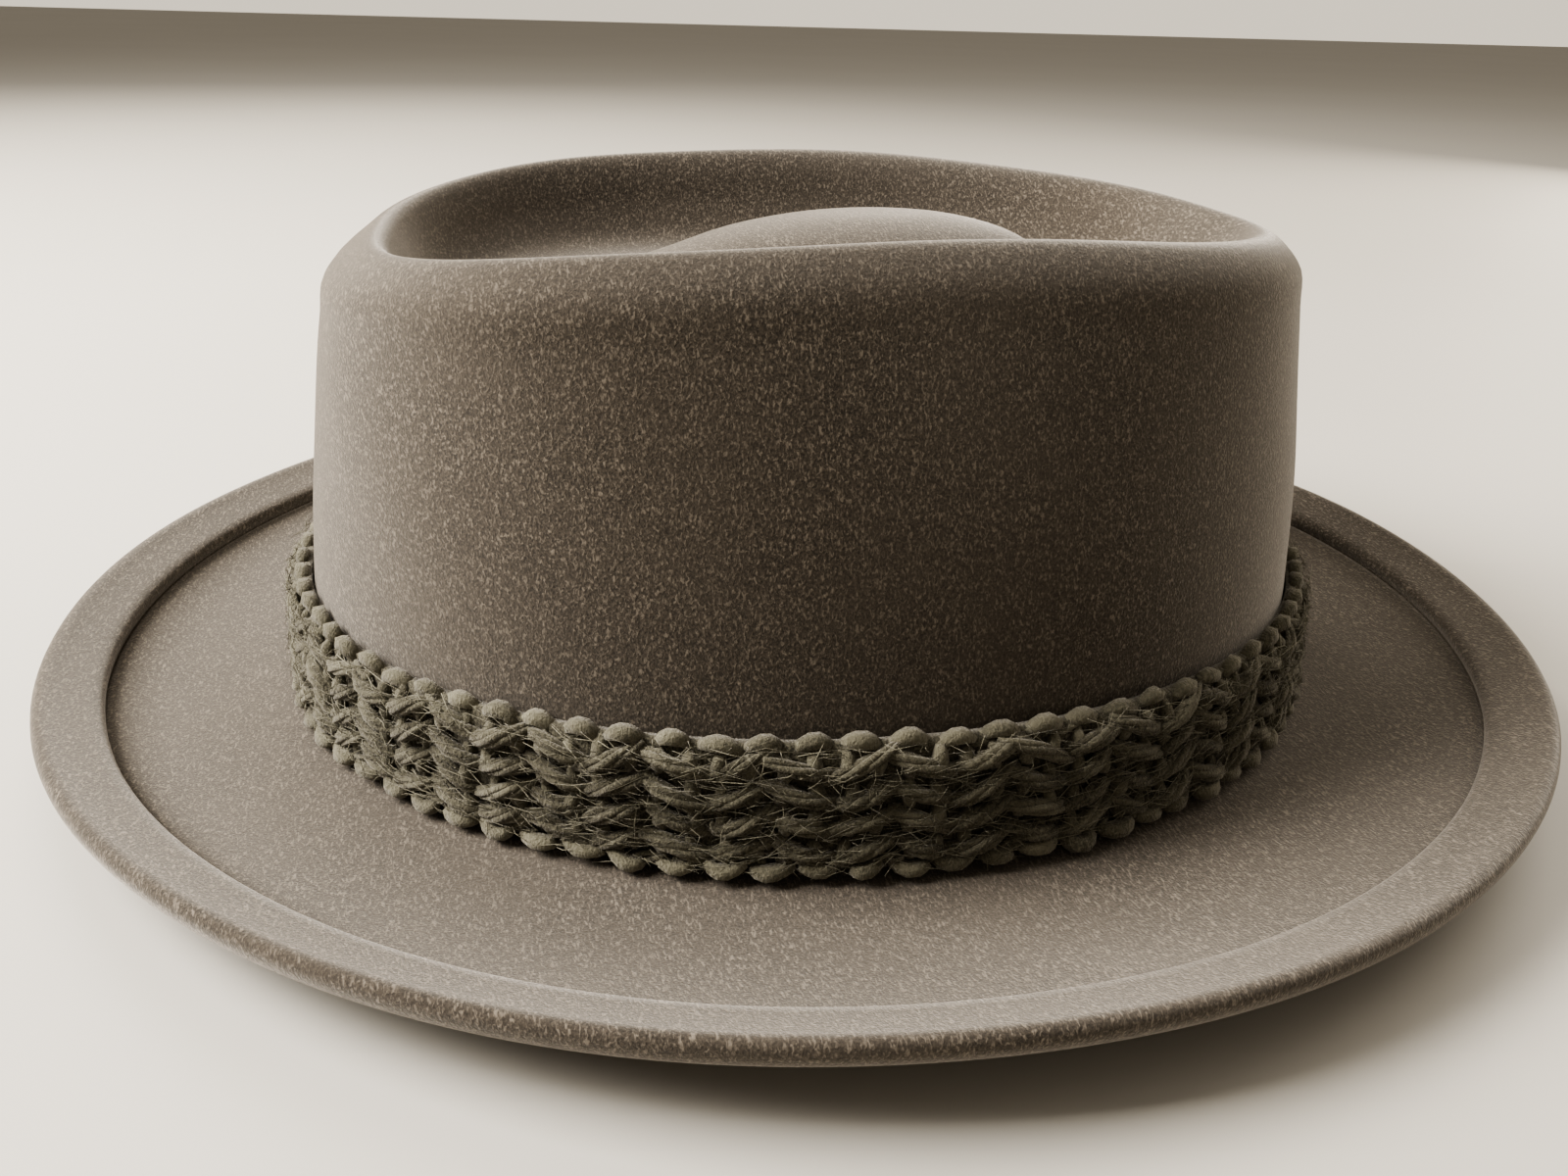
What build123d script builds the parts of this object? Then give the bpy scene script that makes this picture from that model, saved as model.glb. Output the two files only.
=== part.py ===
"""Felt fedora with a teardrop crown, a welted brim and a crocheted slip-on hatband.

Millimetres. +X is the front of the hat, +Y its left side, +Z up. The origin is on the surface
that the hat stands on, under the middle of the head opening.
"""
from build123d import *
import functools
import math
import os

# Felt body
FELT = 2.2                    # thickness of the blocked felt
CROWN_LENGTH = 206.0          # outside the felt at the brim break, front to back
CROWN_WIDTH = 182.0           # outside the felt at the brim break, side to side
CROWN_HEIGHT = 95.0           # top of the side ridges above the table
RIDGE_DROP = 10.0             # how much lower the ridge is at the front and back
RIDGE_LENGTH = 178.0          # outside of the crown near its top
RIDGE_WIDTH = 134.0
CREASE_DEPTH = 22.0           # crease floor below the top of the ridge
MOUND_LENGTH = 100.0          # raised middle of the teardrop
MOUND_WIDTH = 50.0
MOUND_DROP = 5.0              # top of the mound below the top of the ridge
MOUND_FORWARD = 11.0          # middle of the mound ahead of the middle of the crown

# Brim
BRIM_FRONT = 49.0             # width of the brim at the front and back
BRIM_SIDE = 52.5              # width of the brim at the sides
BRIM_RISE = 8.5               # how far the edge is turned up
BRIM_FLAT = 12.0              # flat ring that the hat stands on
WELT_WIDTH = 11.5             # felt folded back over the top of the edge

# Hatband
BAND_HEIGHT = 24.0
BAND_THICKNESS = 5.0
EDGING_HEIGHT = 3.0           # each crocheted edging, upper and lower
BAND_SEAM = 3.5               # width of the sewn joint at the back
BAND_CLEARANCE = 0.4          # between the band and the felt, and the band and the brim

# Sweatband and lining
SWEATBAND_HEIGHT = 38.0
SWEATBAND_THICKNESS = 1.2
REED = 2.0                    # thickness and height of the reed in the lower edge
REED_LIFT = 0.6               # the reed's underside above the table
LINING = 0.5
LINING_GAP = 0.15             # between the lining and the felt
LINING_START = 8.0            # lower edge of the lining above the table
LINING_TIP_HEIGHT = 62.0
TIP_LENGTH = 150.0
TIP_WIDTH = 104.0
PIPING = 1.6
TAPE_WIDTH = 14.0             # ribbon over the joint of the sweatband
TAPE = 0.4
BOW_WIDTH = 24.0
BOW_HEIGHT = 9.0
TAG_WIDTH = 26.0
TAG_HEIGHT = 12.0
STITCHES = 48
STITCH_LENGTH = 4.5
STITCH = 0.5

OUTLINE_POINTS = 36
FAR = 400.0                   # larger than the hat, for cutting tools

half_crown = (CROWN_LENGTH / 2, CROWN_WIDTH / 2)
half_ridge = (RIDGE_LENGTH / 2, RIDGE_WIDTH / 2)


def outline(half_length, half_width, height, power=2.0, narrowing=0.0, forward=0.0):
    """A closed oval at one height, narrower towards the front by the given share."""
    points = []
    for step in range(OUTLINE_POINTS):
        angle = 2 * math.pi * step / OUTLINE_POINTS
        c, s = math.cos(angle), math.sin(angle)
        x = half_length * math.copysign(abs(c) ** (2 / power), c)
        y = half_width * math.copysign(abs(s) ** (2 / power), s)
        points.append((x + forward, y * (1 - narrowing * x / half_length), height))
    return Wire(Edge.make_spline([Vector(*p) for p in points], periodic=True))


def stack(wires):
    """The solid through a stack of outlines, straight between each and the next."""
    return Solid.make_loft(wires, ruled=True)


def wall_size(height, inset=0.0):
    """Half length, half width, roundness and narrowing of the crown wall at a height."""
    share = min(max(height / CROWN_HEIGHT, 0.0), 1.0)
    lean = 0.35 * share + 0.65 * share ** 2.2
    length = half_crown[0] + (half_ridge[0] - half_crown[0]) * lean - inset
    width = half_crown[1] + (half_ridge[1] - half_crown[1]) * lean - inset
    return length, width, 2.0 + 0.3 * share, 0.05 * share


def wall_outline(height, inset=0.0, at=None):
    """The crown wall's outline, taken at one height and placed at another if one is given."""
    length, width, power, narrowing = wall_size(height, inset)
    return outline(length, width, height if at is None else at, power, narrowing)


WALL_STEPS = 12               # straight stretches of the wall from its foot to its top
CUT = 5.0                     # how far a cutting block runs past what it cuts


def slab(bottom, top):
    """A wide block between two levels."""
    return Pos(0, 0, (bottom + top) / 2) * Box(FAR, FAR, top - bottom)


@functools.cache
def wall_solid(inset):
    """The whole space inside the crown wall, moved inwards by the inset."""
    heights = [CROWN_HEIGHT * step / WALL_STEPS for step in range(WALL_STEPS + 1)]
    wires = [wall_outline(h, inset) for h in heights]
    foot = wall_outline(0.0, inset, -CUT)
    head = wall_outline(CROWN_HEIGHT, inset, CROWN_HEIGHT + CUT)
    return stack([foot] + wires + [head])


def wall_layer(bottom, top, outer_inset, thickness):
    """A thin ring that follows the crown wall between two levels."""
    shell = wall_solid(outer_inset) & slab(bottom, top)
    return shell - wall_solid(outer_inset + thickness)


def ridge_cutter(lift):
    """A lying cylinder whose top is the curve of the ridge from front to back."""
    radius = half_ridge[0] ** 2 / (2 * RIDGE_DROP) + RIDGE_DROP / 2
    drum = Cylinder(radius + lift, FAR, rotation=(90, 0, 0))
    return Pos(0, 0, CROWN_HEIGHT - radius) * drum


def crown_block(inset):
    """The crown without its crease, as a solid block."""
    foot = 0.0 if inset == 0 else -CUT / 2
    block = wall_solid(inset) & slab(foot, CROWN_HEIGHT + CUT / 2)
    return block & ridge_cutter(-inset)


def crease(grow):
    """The hollow that is pressed into the crown, with walls that close towards its floor."""
    floor = CROWN_HEIGHT - CREASE_DEPTH - grow
    sides = []
    for share, inset in ((0.0, 19.0), (0.2, 14.5), (0.55, 11.0), (0.9, 7.5), (1.15, 3.5)):
        height = floor + (CREASE_DEPTH + grow) * share
        length = half_ridge[0] - inset + grow
        width = half_ridge[1] - inset + grow
        sides.append(outline(length, width, height, 2.2, 0.12))
    return stack(sides)


def mound(shrink):
    """The raised middle of the teardrop."""
    top = CROWN_HEIGHT - MOUND_DROP - shrink
    sides = []
    for drop, share in ((30.0, 1.25), (17.0, 1.0), (9.0, 0.8), (3.0, 0.5), (0.0, 0.2)):
        length = MOUND_LENGTH / 2 * share - shrink * share
        width = MOUND_WIDTH / 2 * share - shrink * share
        sides.append(outline(length, width, top - drop, 2.0, 0.1, MOUND_FORWARD))
    return stack(sides)


def brim_outline(share, height, inset=0.0):
    """The brim's outline at a share of its width, from the crown out."""
    length = half_crown[0] + BRIM_FRONT * share - inset
    width = half_crown[1] + BRIM_SIDE * share - inset
    return outline(length, width, height)


def brim_bowl(lift):
    """The space above the brim's underside, raised by a thickness of felt."""
    flat = BRIM_FLAT / BRIM_FRONT
    curve = [(flat, 0.0), (0.5, 0.10), (0.7, 0.35), (0.85, 0.65), (1.0, 1.0), (1.15, 1.4)]
    sides = [brim_outline(share, lift + BRIM_RISE * rise) for share, rise in curve]
    return stack(sides)


def brim_column(inset):
    """An upright block with the brim's outline."""
    return stack([brim_outline(1.0, -1, inset), brim_outline(1.0, 3 * FELT + BRIM_RISE, inset)])


def brim():
    """The brim, with its edge folded back on top as a welt."""
    sheet = (brim_bowl(0.0) - brim_bowl(FELT)) & brim_column(0.0)
    fold = (brim_bowl(0.0) - brim_bowl(2 * FELT)) & brim_column(0.0)
    return sheet + (fold - brim_column(WELT_WIDTH))


def felt_body():
    """The crown and the brim, blocked from one piece of felt."""
    outside = crown_block(0.0) - (crease(0.0) - mound(0.0))
    inside = crown_block(FELT) - (crease(FELT) - mound(FELT))
    return outside + brim() - inside


def band_ring(bottom, top, thickness):
    """A ring of the hatband, clear of the felt at every height."""
    return wall_layer(bottom, top, -BAND_CLEARANCE - thickness, thickness)


def band_levels():
    """Heights where the lower edging, the band, the upper edging and the top begin."""
    bottom = FELT + BAND_CLEARANCE
    top = bottom + BAND_HEIGHT
    return bottom, bottom + EDGING_HEIGHT, top - EDGING_HEIGHT, top


def back_slot(width, bottom, top):
    """A box across the back of the hat, for joints and trims on the middle line."""
    return Pos(-FAR / 2, 0, (bottom + top) / 2) * Box(FAR, width, top - bottom)


def hatband():
    """The crocheted strip, open at the back where its ends are sewn."""
    levels = band_levels()
    ring = band_ring(levels[1], levels[2], BAND_THICKNESS)
    return ring - back_slot(BAND_SEAM, 0, CROWN_HEIGHT)


def hatband_seam():
    """The yarn that joins the two ends of the strip."""
    levels = band_levels()
    ring = band_ring(levels[1], levels[2], BAND_THICKNESS)
    return ring & back_slot(BAND_SEAM, 0, CROWN_HEIGHT)


def hatband_lower_edging():
    """The round of shells along the lower edge."""
    levels = band_levels()
    return band_ring(levels[0], levels[1], BAND_THICKNESS + 0.5)


def hatband_upper_edging():
    """The round of small picots along the upper edge."""
    levels = band_levels()
    return band_ring(levels[2], levels[3], BAND_THICKNESS - 1.0)


SWEAT_INSET = FELT + LINING_GAP + LINING + 0.05
SWEAT_BOTTOM = REED_LIFT + REED


def sweatband():
    """The leather strip that sits on the forehead."""
    return wall_layer(SWEAT_BOTTOM, REED_LIFT + SWEATBAND_HEIGHT, SWEAT_INSET, SWEATBAND_THICKNESS)


def sweatband_reed():
    """The stiff reed under the lower edge of the sweatband."""
    return wall_layer(REED_LIFT, SWEAT_BOTTOM, FELT + 0.1, REED)


def sweatband_tape():
    """The ribbon over the joint of the sweatband, at the back."""
    top = REED_LIFT + SWEATBAND_HEIGHT - 2
    layer = wall_layer(SWEAT_BOTTOM + 1, top, SWEAT_INSET + SWEATBAND_THICKNESS, TAPE)
    return layer & back_slot(TAPE_WIDTH, 0, CROWN_HEIGHT)


def sweatband_bow():
    """The small flat bow at the foot of the joint."""
    middle = SWEAT_BOTTOM + 3 + BOW_HEIGHT / 2
    inset = SWEAT_INSET + SWEATBAND_THICKNESS + TAPE
    layer = wall_layer(middle - BOW_HEIGHT, middle + BOW_HEIGHT, inset, 1.5)
    half, tall, knot = BOW_WIDTH / 2, BOW_HEIGHT / 2, BOW_HEIGHT / 6
    corners = [(half, tall), (0, knot), (-half, tall), (-half, -tall), (0, -knot), (half, -tall)]
    face = Plane.YZ.offset(-FAR / 2) * make_face(Polyline(*corners, close=True))
    return layer & (Pos(0, 0, middle) * extrude(face, FAR / 2))


def sweatband_stitches():
    """The row of stitches that holds the sweatband to the felt."""
    height = SWEAT_BOTTOM + 1.5
    inset = SWEAT_INSET + SWEATBAND_THICKNESS
    layer = wall_layer(height - STITCH / 2, height + STITCH / 2, inset, STITCH)
    length, width = wall_size(height, inset)[:2]
    rods = []
    for step in range(STITCHES):
        angle = 2 * math.pi * (step + 0.5) / STITCHES
        x, y = length * math.cos(angle), width * math.sin(angle)
        turn = math.degrees(math.atan2(width * math.cos(angle), -length * math.sin(angle)))
        if x > 0 or abs(y) > TAPE_WIDTH:
            rods.append(Pos(x, y, height) * Rot(0, 0, turn) * Box(STITCH_LENGTH, 4, STITCH * 2))
    return Compound([s for rod in rods for s in (layer & rod).solids()])


def lining_shape(inset):
    """The space inside the lining, up the wall and then in towards its tip."""
    turn = SWEATBAND_HEIGHT + 6
    outset = FELT + LINING_GAP + inset
    tip = outline(TIP_LENGTH / 2 - inset, TIP_WIDTH / 2 - inset, LINING_TIP_HEIGHT)
    return (wall_solid(outset) & slab(-CUT, turn)) + stack([wall_outline(turn, outset), tip])


def lining_side():
    """The satin strip round the inside of the crown."""
    tip = (TIP_LENGTH / 2 - LINING, TIP_WIDTH / 2 - LINING)
    mouth = stack([outline(*tip, LINING_TIP_HEIGHT - LINING), outline(*tip, CROWN_HEIGHT)])
    side = lining_shape(0.0) - lining_shape(LINING) - mouth
    return side & slab(LINING_START, LINING_TIP_HEIGHT)


def lining_piping():
    """The covered cord between the lining's side and its tip."""
    foot, top = LINING_TIP_HEIGHT, LINING_TIP_HEIGHT + PIPING
    out = [outline(TIP_LENGTH / 2, TIP_WIDTH / 2, z) for z in (foot, top)]
    inn = [outline(TIP_LENGTH / 2 - PIPING, TIP_WIDTH / 2 - PIPING, z) for z in (foot, top)]
    return stack(out) - stack(inn)


def lining_tip():
    """The oval of satin that closes the lining at the top."""
    foot = LINING_TIP_HEIGHT + PIPING / 2
    size = (TIP_LENGTH / 2 - PIPING, TIP_WIDTH / 2 - PIPING)
    return stack([outline(*size, foot), outline(*size, foot + LINING)])


def size_tag():
    """The blank paper tag on the sweatband, beside the joint at the back."""
    middle = REED_LIFT + SWEATBAND_HEIGHT - TAG_HEIGHT
    inset = SWEAT_INSET + SWEATBAND_THICKNESS
    layer = wall_layer(middle - TAG_HEIGHT / 2, middle + TAG_HEIGHT / 2, inset, TAPE)
    start = TAPE_WIDTH / 2 + 2
    slot = Pos(-FAR / 2, start + TAG_WIDTH / 2, middle) * Box(FAR, TAG_WIDTH, TAG_HEIGHT)
    return layer & slot


PARTS = {
    "felt_body": felt_body,
    "hatband": hatband,
    "hatband_seam": hatband_seam,
    "hatband_lower_edging": hatband_lower_edging,
    "hatband_upper_edging": hatband_upper_edging,
    "sweatband": sweatband,
    "sweatband_reed": sweatband_reed,
    "sweatband_tape": sweatband_tape,
    "sweatband_bow": sweatband_bow,
    "sweatband_stitches": sweatband_stitches,
    "lining_side": lining_side,
    "lining_piping": lining_piping,
    "lining_tip": lining_tip,
    "size_tag": size_tag,
}

os.makedirs("parts", exist_ok=True)
for name, make in PARTS.items():
    shape = make()
    export_step(shape, f"parts/{name}.step")
    print(name, round(shape.volume), [round(v, 1) for v in shape.bounding_box().size])
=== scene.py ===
"""A felt fedora with a teardrop crown, a welted brim and a crocheted band, dressed for rendering.

Lengths in the classes are millimetres, as a hatter gives them; meshes are made in metres.
"""
import logging
import math
from dataclasses import dataclass
from enum import Enum

import bpy
import numpy as np
from mathutils import Euler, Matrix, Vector


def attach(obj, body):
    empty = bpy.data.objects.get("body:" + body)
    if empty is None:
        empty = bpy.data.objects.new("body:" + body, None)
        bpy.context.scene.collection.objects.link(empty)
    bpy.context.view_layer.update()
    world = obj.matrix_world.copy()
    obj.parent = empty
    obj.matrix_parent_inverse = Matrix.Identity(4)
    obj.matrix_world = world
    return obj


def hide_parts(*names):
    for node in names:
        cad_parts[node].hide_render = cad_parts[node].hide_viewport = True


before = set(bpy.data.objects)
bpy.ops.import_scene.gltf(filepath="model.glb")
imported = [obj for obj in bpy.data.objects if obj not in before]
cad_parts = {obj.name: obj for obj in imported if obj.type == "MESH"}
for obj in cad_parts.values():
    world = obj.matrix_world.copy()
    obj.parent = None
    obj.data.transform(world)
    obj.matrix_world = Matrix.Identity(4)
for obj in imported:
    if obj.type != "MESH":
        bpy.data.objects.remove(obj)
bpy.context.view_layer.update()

LOG = logging.getLogger("fedora")
MM = 0.001
HAT_BODY = "hat"
BAND_BODY = "band"


class Tone(Enum):
    """Named colours of the hat, linear red, green and blue."""

    FELT_DARK = (0.019, 0.015, 0.011)
    FELT_MID = (0.062, 0.050, 0.038)
    FELT_LIGHT = (0.21, 0.178, 0.142)
    WOOL_DARK = (0.016, 0.015, 0.010)
    WOOL_MID = (0.100, 0.090, 0.064)
    WOOL_LIGHT = (0.23, 0.215, 0.155)
    LEATHER_DARK = (0.085, 0.040, 0.020)
    LEATHER_LIGHT = (0.20, 0.105, 0.055)
    SATIN_DARK = (0.045, 0.040, 0.035)
    SATIN_LIGHT = (0.16, 0.145, 0.125)
    RIBBON_DARK = (0.022, 0.018, 0.015)
    RIBBON_LIGHT = (0.075, 0.062, 0.052)
    THREAD_DARK = (0.30, 0.24, 0.16)
    THREAD_LIGHT = (0.55, 0.47, 0.34)
    PAPER_DARK = (0.60, 0.56, 0.47)
    PAPER_LIGHT = (0.78, 0.75, 0.67)
    REED_DARK = (0.18, 0.13, 0.08)
    REED_LIGHT = (0.34, 0.26, 0.17)


# ---------------------------------------------------------------- shape of the block

@dataclass(frozen=True)
class Block:
    """The wooden block that the felt is pulled over, as a crown wall of changing ovals."""

    crown: tuple[float, float] = (103.0, 91.0)
    ridge: tuple[float, float] = (89.0, 67.0)
    height: float = 96.5
    ridge_drop: float = 5.0
    back_drop: float = 8.5
    felt: float = 2.2

    def oval(self, angle: np.ndarray, size: tuple[float, float], power: float = 2.0,
             narrowing: float = 0.0, forward: float = 0.0) -> np.ndarray:
        """Plan points of one oval.

        Args:
            angle: Angles round the oval, from the front.
            size: Half length and half width.
            power: Roundness; above 2 the oval is squarer.
            narrowing: Share by which it is narrower at the front.
            forward: Move towards the front.
        Returns:
            Points as rows of x and y.
        """
        c, s = np.cos(angle), np.sin(angle)
        x = size[0] * np.sign(c) * np.abs(c) ** (2 / power)
        y = size[1] * np.sign(s) * np.abs(s) ** (2 / power)
        return np.stack([x + forward, y * (1 - narrowing * x / max(size[0], 1e-6))], -1)

    def wall(self, angle: np.ndarray, height: np.ndarray, outset: float = 0.0) -> np.ndarray:
        """Points on the crown wall.

        Args:
            angle: Angles round the crown, from the front.
            height: Height of each point, or one for all.
            outset: Distance out of the felt's outside.
        Returns:
            Points as rows of x, y and z.
        """
        height = np.broadcast_to(height, angle.shape)
        share = np.clip(height / self.height, 0.0, 1.0)
        lean = 0.35 * share + 0.65 * share ** 2.2
        length = self.crown[0] + (self.ridge[0] - self.crown[0]) * lean + outset
        width = self.crown[1] + (self.ridge[1] - self.crown[1]) * lean + outset
        power = 2.0 + 0.3 * share + 0.45 * share ** 4
        c, s = np.cos(angle), np.sin(angle)
        x = np.sign(c) * np.abs(c) ** (2 / power)
        y = width * np.sign(s) * np.abs(s) ** (2 / power) * (1 - 0.05 * share * x)
        return np.stack([length * x, y, height], -1)

    def crest(self, x: np.ndarray) -> np.ndarray:
        """Height of the ridge, lower at the front and lowest at the back.

        Args:
            x: Distances forward of the middle.
        Returns:
            The heights.
        """
        drop = np.where(x < 0, self.back_drop, self.ridge_drop)
        return self.height - drop * (x / self.ridge[0]) ** 2


BLOCK = Block()


def smooth_rows(rows: np.ndarray, count: int) -> np.ndarray:
    """Pass a smooth curve through a stack of rings.

    Args:
        rows: Rings, as an array of rings, columns and coordinates.
        count: Rings wanted between each two given ones.
    Returns:
        The denser stack of rings.
    """
    first = 2 * rows[:1] - rows[1:2]
    last = 2 * rows[-1:] - rows[-2:-1]
    padded = np.concatenate([first, rows, last])
    out = []
    for i in range(1, len(padded) - 2):
        p0, p1, p2, p3 = padded[i - 1:i + 3]
        for step in range(count):
            t = step / count
            out.append(0.5 * (2 * p1 + (p2 - p0) * t + (2 * p0 - 5 * p1 + 4 * p2 - p3) * t * t
                              + (3 * p1 - p0 - 3 * p2 + p3) * t ** 3))
    out.append(rows[-1])
    return np.array(out)


def ring_normals(rows: np.ndarray) -> np.ndarray:
    """Unit normals of a stack of closed rings.

    Args:
        rows: Rings from the top of the crown down.
    Returns:
        Normals that point out of the crown.
    """
    around = np.roll(rows, -1, axis=1) - np.roll(rows, 1, axis=1)
    along = np.gradient(rows, axis=0)
    normal = np.cross(along, around)
    length = np.linalg.norm(normal, axis=-1, keepdims=True)
    return normal / np.maximum(length, 1e-9)


# ---------------------------------------------------------------- mesh helpers

def make_object(name: str, points: np.ndarray, faces: list, uv: np.ndarray | None = None,
                tone: np.ndarray | None = None) -> bpy.types.Object:
    """Make a smooth mesh object at the origin.

    Args:
        name: The piece's name.
        points: Vertex places, in millimetres.
        faces: Vertex indices of each face.
        uv: A place on the surface for each vertex, in millimetres.
        tone: A share from 0 to 1 for each vertex, for the shade of its yarn.
    Returns:
        The new object.
    """
    mesh = bpy.data.meshes.new(name)
    mesh.from_pydata((points * MM).tolist(), [], faces)
    mesh.update()
    mesh.shade_smooth()
    corner = np.empty(len(mesh.loops), dtype=np.int32)
    mesh.loops.foreach_get("vertex_index", corner)
    if uv is not None:
        layer = mesh.uv_layers.new(name="UVMap")
        layer.data.foreach_set("uv", (uv[corner] * 0.01).astype(np.float32).ravel())
    if tone is not None:
        layer = mesh.color_attributes.new(name="tone", type="FLOAT_COLOR", domain="POINT")
        rgba = np.repeat(tone[:, None], 4, axis=1).astype(np.float32)
        layer.data.foreach_set("color", rgba.ravel())
    obj = bpy.data.objects.new(name, mesh)
    bpy.context.scene.collection.objects.link(obj)
    return obj


def ring_faces(rings: int, columns: int, start: int = 0, loop: bool = False) -> list:
    """Quads between closed rings of vertices.

    Args:
        rings: How many rings there are.
        columns: Vertices in each.
        start: The first vertex.
        loop: Whether the last ring is joined to the first.
    Returns:
        Vertex indices of each face.
    """
    faces = []
    for r in range(rings if loop else rings - 1):
        a, b = start + r * columns, start + ((r + 1) % rings) * columns
        for c in range(columns):
            d = (c + 1) % columns
            faces.append((a + c, b + c, b + d, a + d))
    return faces


def ring_uv(rows: np.ndarray) -> np.ndarray:
    """A place on the surface for each vertex of a ring stack.

    Args:
        rows: The rings.
    Returns:
        Distance along the ring and down the stack.
    """
    around = np.linalg.norm(np.roll(rows, -1, axis=1) - rows, axis=-1).cumsum(axis=1)
    down = np.linalg.norm(np.diff(rows, axis=0, prepend=rows[:1]), axis=-1).cumsum(axis=0)
    return np.stack([around, down], -1).reshape(-1, 2)


def closed_ring(name: str, rows: np.ndarray) -> bpy.types.Object:
    """Make a ring-shaped solid.

    Args:
        name: The piece's name.
        rows: Rings in order round its cross-section.
    Returns:
        The new object.
    """
    rings, columns = rows.shape[:2]
    faces = ring_faces(rings, columns, loop=True)
    obj = make_object(name, rows.reshape(-1, 3), faces, ring_uv(rows))
    outward(obj)
    return obj


def outward(obj: bpy.types.Object) -> None:
    """Turn a closed mesh's faces outwards."""
    bpy.ops.object.select_all(action="DESELECT")
    bpy.context.view_layer.objects.active = obj
    obj.select_set(True)
    bpy.ops.object.mode_set(mode="EDIT")
    bpy.ops.mesh.select_all(action="SELECT")
    bpy.ops.mesh.normals_make_consistent(inside=False)
    bpy.ops.object.mode_set(mode="OBJECT")
    obj.select_set(False)


# ---------------------------------------------------------------- finishes

class Sockets:
    """Small shorthand for making nodes and links in one tree."""

    def __init__(self, tree: bpy.types.NodeTree) -> None:
        """Keep the tree."""
        self.tree = tree

    def node(self, kind: str, **values) -> bpy.types.Node:
        """Add a node.

        Args:
            kind: The node's type.
            **values: Its properties and inputs, by name.
        Returns:
            The node.
        """
        node = self.tree.nodes.new(kind)
        for key, value in values.items():
            if hasattr(node, key):
                setattr(node, key, value)
            else:
                node.inputs[key.replace("_", " ")].default_value = value
        return node

    def link(self, a: bpy.types.NodeSocket, b: bpy.types.NodeSocket) -> None:
        """Join an output to an input."""
        self.tree.links.new(a, b)

    def mix(self, factor: bpy.types.NodeSocket, a: "bpy.types.NodeSocket | tuple",
            b: "bpy.types.NodeSocket | tuple") -> bpy.types.NodeSocket:
        """Mix two colours.

        Args:
            factor: Share of the second.
            a: The first, a socket or a plain colour.
            b: The second.
        Returns:
            The mixed colour.
        """
        node = self.node("ShaderNodeMix", data_type="RGBA")
        self.link(factor, node.inputs[0])
        for socket, value in ((node.inputs[6], a), (node.inputs[7], b)):
            if isinstance(value, bpy.types.NodeSocket):
                self.link(value, socket)
            else:
                socket.default_value = value
        return node.outputs[2]


def fibre_group() -> bpy.types.NodeTree:
    """Build the shared speckle of matted fibres: dark ground, mid shade and pale hairs.

    Returns:
        The node group.
    """
    name = "matted fibres"
    if name in bpy.data.node_groups:
        return bpy.data.node_groups[name]
    tree = bpy.data.node_groups.new(name, "ShaderNodeTree")
    face = tree.interface
    face.new_socket("Vector", in_out="INPUT", socket_type="NodeSocketVector")
    for label in ("Dark", "Mid", "Light"):
        face.new_socket(label, in_out="INPUT", socket_type="NodeSocketColor")
    for label, value in (("Grain", 1400.0), ("Hairs", 0.5), ("Patches", 0.3)):
        socket = face.new_socket(label, in_out="INPUT", socket_type="NodeSocketFloat")
        socket.default_value = value
    face.new_socket("Color", in_out="OUTPUT", socket_type="NodeSocketColor")
    face.new_socket("Height", in_out="OUTPUT", socket_type="NodeSocketFloat")
    kit = Sockets(tree)
    entry, leave = kit.node("NodeGroupInput"), kit.node("NodeGroupOutput")
    fine = kit.node("ShaderNodeTexNoise", Detail=3.0, Roughness=0.6)
    kit.link(entry.outputs["Vector"], fine.inputs["Vector"])
    kit.link(entry.outputs["Grain"], fine.inputs["Scale"])
    stretch = kit.node("ShaderNodeMapping", Scale=(1.0, 0.35, 0.6), Rotation=(0.5, 0.3, 0.7))
    kit.link(entry.outputs["Vector"], stretch.inputs["Vector"])
    hair = kit.node("ShaderNodeTexNoise", Detail=2.0, Roughness=0.5, Distortion=0.6)
    kit.link(stretch.outputs[0], hair.inputs["Vector"])
    kit.link(entry.outputs["Grain"], hair.inputs["Scale"])
    patch = kit.node("ShaderNodeTexNoise", Scale=38.0, Detail=3.0)
    kit.link(entry.outputs["Vector"], patch.inputs["Vector"])
    ground = kit.node("ShaderNodeMapRange", From_Min=0.36, From_Max=0.64)
    kit.link(fine.outputs["Fac"], ground.inputs["Value"])
    base = kit.mix(ground.outputs[0], entry.outputs["Dark"], entry.outputs["Mid"])
    pale = kit.node("ShaderNodeMapRange", From_Min=0.52, From_Max=0.70)
    kit.link(hair.outputs["Fac"], pale.inputs["Value"])
    weight = kit.node("ShaderNodeMath", operation="MULTIPLY")
    kit.link(pale.outputs[0], weight.inputs[0])
    kit.link(entry.outputs["Hairs"], weight.inputs[1])
    haired = kit.mix(weight.outputs[0], base, entry.outputs["Light"])
    cloud = kit.node("ShaderNodeMapRange", From_Min=0.35, From_Max=0.65)
    kit.link(patch.outputs["Fac"], cloud.inputs["Value"])
    shade = kit.node("ShaderNodeMath", operation="MULTIPLY")
    kit.link(cloud.outputs[0], shade.inputs[0])
    kit.link(entry.outputs["Patches"], shade.inputs[1])
    kit.link(kit.mix(shade.outputs[0], haired, entry.outputs["Mid"]), leave.inputs["Color"])
    total = kit.node("ShaderNodeMath", operation="ADD")
    kit.link(fine.outputs["Fac"], total.inputs[0])
    kit.link(hair.outputs["Fac"], total.inputs[1])
    kit.link(total.outputs[0], leave.inputs["Height"])
    return tree


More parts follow.
